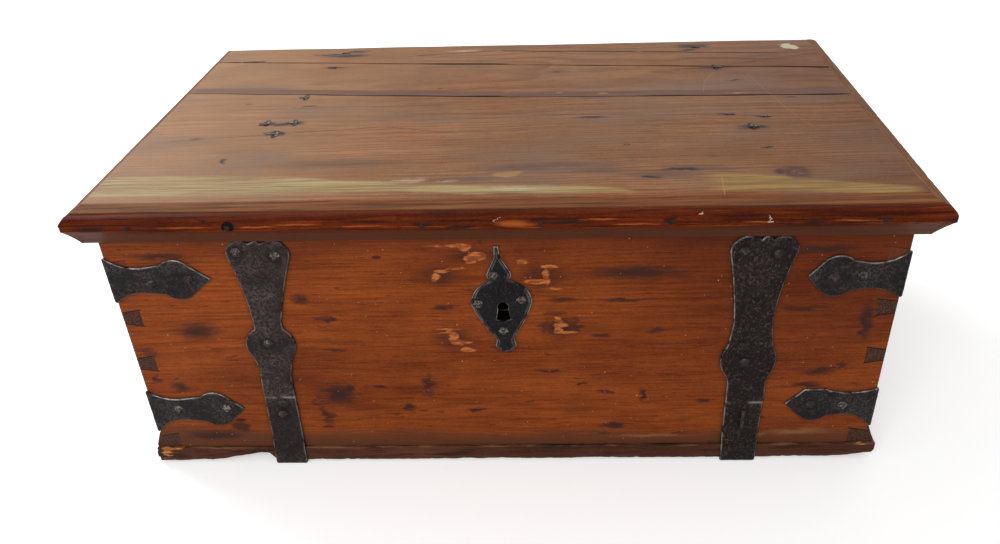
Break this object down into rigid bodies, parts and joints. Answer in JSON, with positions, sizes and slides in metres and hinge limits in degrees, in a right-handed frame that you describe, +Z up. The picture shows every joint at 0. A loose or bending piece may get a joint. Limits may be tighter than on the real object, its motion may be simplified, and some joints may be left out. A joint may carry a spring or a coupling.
{
  "type": "blanket chest",
  "caption": "Dovetailed pine blanket chest with a flat moulded lid, wrought-iron straps, corner irons, keyhole plate, box lock, strap hinges and drop handles.",
  "frame": {"origin": "middle of the overall box in plan, on the floor", "axes": "+X to the right of someone facing the front, +Y to the back, +Z up"},
  "size_m": [0.8018, 0.5034, 0.3229],
  "materials": {
    "carcass_pine": "old varnished pine, satin",
    "lid_pine": "worn dry pine, matt",
    "moulding_pine": "dark varnished pine, satin",
    "base_pine": "dark worn pine, matt",
    "black_iron": "blackened wrought iron, pitted",
    "lock_iron": "dark rusted iron"
  },
  "bodies": {
    "case": {"back_board": "carcass_pine", "bottom_board_front": "base_pine", "bottom_board_rear": "base_pine", "bottom_nails": "black_iron", "corner_iron_back_lower_left": "black_iron", "corner_iron_back_lower_right": "black_iron", "corner_iron_back_upper_left": "black_iron", "corner_iron_back_upper_right": "black_iron", "corner_iron_front_lower_left": "black_iron", "corner_iron_front_lower_right": "black_iron", "corner_iron_front_upper_left": "black_iron", "corner_iron_front_upper_right": "black_iron", "corner_iron_nails_back": "black_iron", "corner_iron_nails_front": "black_iron", "foot_strip_left": "base_pine", "foot_strip_nails": "black_iron", "foot_strip_right": "base_pine", "front_board": "carcass_pine", "front_strap_left": "black_iron", "front_strap_nails_left": "black_iron", "front_strap_nails_right": "black_iron", "front_strap_right": "black_iron", "handle_eyes_left": "black_iron", "handle_eyes_right": "black_iron", "handle_washers_left": "black_iron", "handle_washers_right": "black_iron", "hinge_leaf_left": "black_iron", "hinge_leaf_nails": "black_iron", "hinge_leaf_right": "black_iron", "hinge_pin_left": "lock_iron", "hinge_pin_right": "lock_iron", "keyhole_plate": "black_iron", "keyhole_plate_nails": "black_iron", "lock_cover": "lock_iron", "lock_guides": "lock_iron", "lock_key_pin": "lock_iron", "lock_nails": "lock_iron", "lock_plate": "lock_iron", "lock_rivets": "lock_iron", "lock_spring": "lock_iron", "side_board_left": "carcass_pine", "side_board_right": "carcass_pine"},
    "lid": {"catch_staple": "lock_iron", "catch_staple_nails": "lock_iron", "hinge_strap_left": "black_iron", "hinge_strap_nails_left": "black_iron", "hinge_strap_nails_right": "black_iron", "hinge_strap_right": "black_iron", "lid_board_front": "lid_pine", "lid_board_middle": "lid_pine", "lid_board_rear": "lid_pine", "lid_moulding_front": "moulding_pine", "lid_moulding_left": "moulding_pine", "lid_moulding_nails": "black_iron", "lid_moulding_right": "moulding_pine"},
    "lock_bolt": {"lock_bolt": "lock_iron"},
    "handle_left": {"handle_left": "black_iron"},
    "handle_right": {"handle_right": "black_iron"}
  },
  "joints": [
    {"name": "lid_hinge", "type": "hinge", "parent": "case", "child": "lid", "pos_m": [-0.00191, 0.24609, 0.29392], "axis": [-1, 0, 0], "range_deg": [0, 105]},
    {"name": "lock_bolt_slide", "type": "slide", "parent": "case", "child": "lock_bolt", "axis": [1, 0, 0], "range_m": [0, 0.016]},
    {"name": "handle_left_hinge", "type": "hinge", "parent": "case", "child": "handle_left", "pos_m": [-0.39291, 0.01421, 0.19], "axis": [0, 1, 0], "range_deg": [0, 175]},
    {"name": "handle_right_hinge", "type": "hinge", "parent": "case", "child": "handle_right", "pos_m": [0.38909, 0.01421, 0.19], "axis": [0, -1, 0], "range_deg": [0, 175]}
  ]
}
